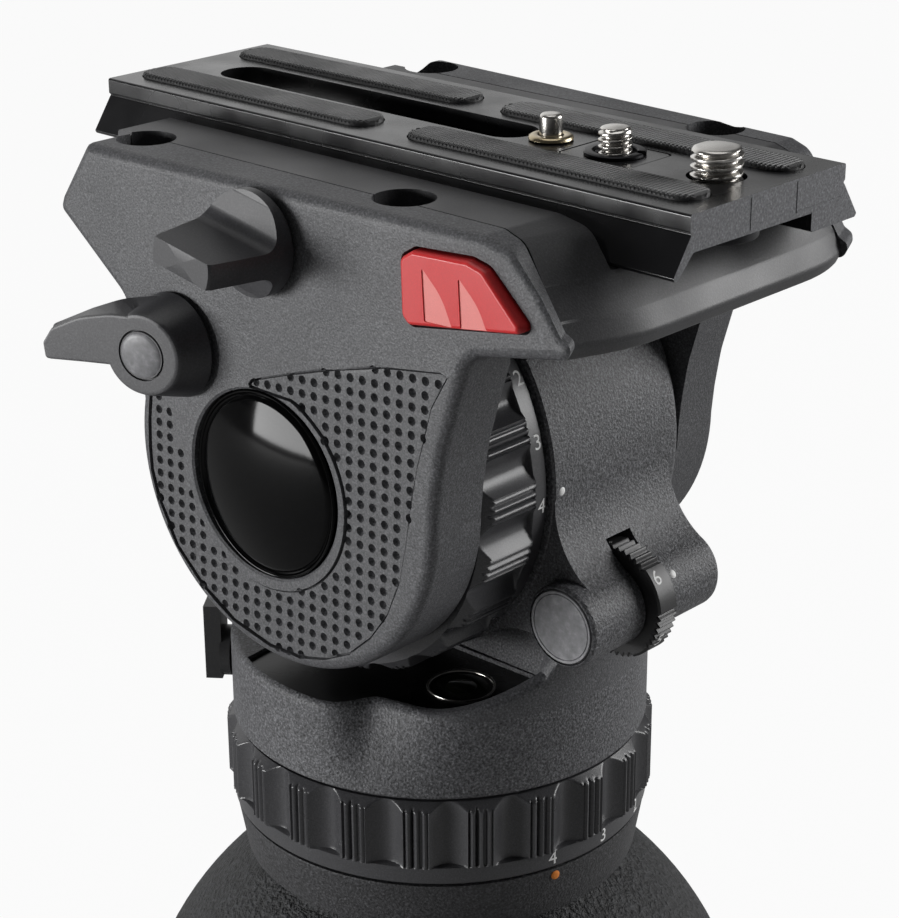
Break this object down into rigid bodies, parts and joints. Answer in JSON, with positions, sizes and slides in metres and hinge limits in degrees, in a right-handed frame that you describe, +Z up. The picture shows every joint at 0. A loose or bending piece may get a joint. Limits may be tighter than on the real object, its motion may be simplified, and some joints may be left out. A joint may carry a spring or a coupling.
{
  "type": "fluid video head",
  "caption": "Fluid pan and tilt head with sliding camera plate, ribbed drag rings, counterbalance dial, bubble level and half-ball bowl base.",
  "frame": {"origin": "centre of the 150 mm bowl ball, on the pan axis", "axes": "+Z up along the pan axis, +X to the front of the head where the large camera screw is, -Y to the side with the tilt lock, plate clamp and release button"},
  "size_m": [0.1553, 0.1498, 0.3511],
  "materials": {
    "casting": "fine textured matte",
    "rough_casting": "coarse wrinkle",
    "plate": "black anodised satin",
    "gloss_black": "polished",
    "rubber": "ribbed",
    "black_plastic": "satin",
    "red_plastic": "satin",
    "steel": "turned",
    "dark_steel": "blackened",
    "brass": "turned",
    "level_glass": "clear over green fluid"
  },
  "bodies": {
    "base": {"half_ball": "rough_casting", "ball_stud": "dark_steel", "tie_down_cup": "black_plastic", "base_column": "casting", "pan_axle": "steel", "pan_axle_nut": "dark_steel", "pan_cartridge": "steel", "pan_cartridge_lid": "steel"},
    "tie_down": {"tie_down_knob": "black_plastic"},
    "pan_ring": {"pan_drag_ring": "rubber"},
    "pan_stage": {"pan_bearing_lower": "steel", "pan_bearing_upper": "steel", "pan_rotor": "brass", "turntable": "casting", "level_cover": "gloss_black", "level_ring": "steel", "level_vial": "level_glass", "body_screw_rear": "dark_steel", "body_screw_front": "dark_steel", "center_body": "casting", "barrel_cap": "casting", "tilt_bearing_near": "steel", "tilt_bearing_far": "steel", "tilt_cartridge": "steel", "tilt_cartridge_lid": "steel", "counterbalance_spring": "dark_steel"},
    "pan_lock": {"pan_lock_lever": "black_plastic"},
    "dial": {"counterbalance_dial": "black_plastic", "counterbalance_shaft": "steel"},
    "tilt_ring": {"tilt_drag_ring": "rubber"},
    "platform": {"tilt_axle": "steel", "tilt_rotor": "brass", "near_side_plate": "casting", "far_side_plate": "casting", "platform_deck": "casting", "deck_screw_near_rear": "dark_steel", "deck_screw_near_front": "dark_steel", "deck_screw_far_rear": "dark_steel", "deck_screw_far_front": "dark_steel", "near_badge": "gloss_black", "far_badge": "gloss_black", "pan_bar_rosette": "dark_steel", "release_spring": "steel"},
    "tilt_lock": {"tilt_lock_lever": "black_plastic", "tilt_lock_cap": "black_plastic", "tilt_brake_pad": "brass"},
    "clamp": {"clamp_knob": "black_plastic"},
    "jaw": {"clamp_jaw": "steel"},
    "button": {"release_button": "red_plastic", "release_pin": "steel"},
    "plate": {"camera_plate": "plate", "pad_near_rear": "rubber", "pad_near_front": "rubber", "pad_far_rear": "rubber", "pad_far_front": "rubber", "screw_carrier": "plate", "video_pin_collar": "brass"},
    "large_screw": {"screw_3_8": "steel"},
    "small_screw": {"screw_1_4": "steel"},
    "pin": {"video_pin": "steel"}
  },
  "joints": [
    {"name": "tie_down_turn", "type": "hinge", "parent": "base", "child": "tie_down", "pos_m": [0, 0, -0.09], "axis": [0, 0, 1], "continuous": true},
    {"name": "pan_drag", "type": "hinge", "parent": "base", "child": "pan_ring", "pos_m": [0, 0, 0.0855], "axis": [0, 0, 1], "range_deg": [-66, 0]},
    {"name": "pan", "type": "hinge", "parent": "base", "child": "pan_stage", "pos_m": [0, 0, 0.1], "axis": [0, 0, 1], "continuous": true},
    {"name": "pan_lock_turn", "type": "hinge", "parent": "pan_stage", "child": "pan_lock", "pos_m": [-0.03523, -0.02752, 0.1048], "axis": [-0.788, -0.6157, 0], "range_deg": [0, 60]},
    {"name": "tilt", "type": "hinge", "parent": "pan_stage", "child": "platform", "pos_m": [0, 0, 0.1598], "axis": [0, 1, 0], "range_deg": [-75, 60]},
    {"name": "tilt_drag", "type": "hinge", "parent": "pan_stage", "child": "tilt_ring", "pos_m": [0, -0.024, 0.1598], "axis": [0, 1, 0], "range_deg": [0, 66]},
    {"name": "counterbalance_set", "type": "hinge", "parent": "pan_stage", "child": "dial", "pos_m": [0.0493, 0.0007, 0.1348], "axis": [0, 1, 0], "range_deg": [-300, 0]},
    {"name": "plate_slide", "type": "slide", "parent": "platform", "child": "plate", "axis": [1, 0, 0], "range_m": [-0.035, 0.035]},
    {"name": "plate_clamp_turn", "type": "hinge", "parent": "platform", "child": "clamp", "pos_m": [0.0012, -0.055, 0.2088], "axis": [0, -1, 0], "range_deg": [0, 180]},
    {"name": "jaw_slide", "type": "slide", "parent": "platform", "child": "jaw", "axis": [0, -1, 0], "range_m": [0, 0.0015]},
    {"name": "tilt_lock_turn", "type": "hinge", "parent": "platform", "child": "tilt_lock", "pos_m": [-0.0215, -0.055, 0.1838], "axis": [0, 1, 0], "range_deg": [-30, 70]},
    {"name": "release_press", "type": "slide", "parent": "platform", "child": "button", "axis": [0, 1, 0], "range_m": [0, 0.002], "stiffness_N_per_m": 500, "springref_m": -0.002},
    {"name": "large_screw_turn", "type": "hinge", "parent": "plate", "child": "large_screw", "pos_m": [0.0685, 0, 0.218], "axis": [0, 0, 1], "continuous": true},
    {"name": "small_screw_turn", "type": "hinge", "parent": "plate", "child": "small_screw", "pos_m": [0.0453, 0, 0.218], "axis": [0, 0, 1], "continuous": true},
    {"name": "pin_press", "type": "slide", "parent": "plate", "child": "pin", "axis": [0, 0, -1], "range_m": [0, 0.004], "stiffness_N_per_m": 300, "springref_m": -0.002}
  ],
  "couplings": [
    {"joint": "plate_clamp_turn", "follows": "jaw_slide", "rad_per_m": 2094.4}
  ]
}
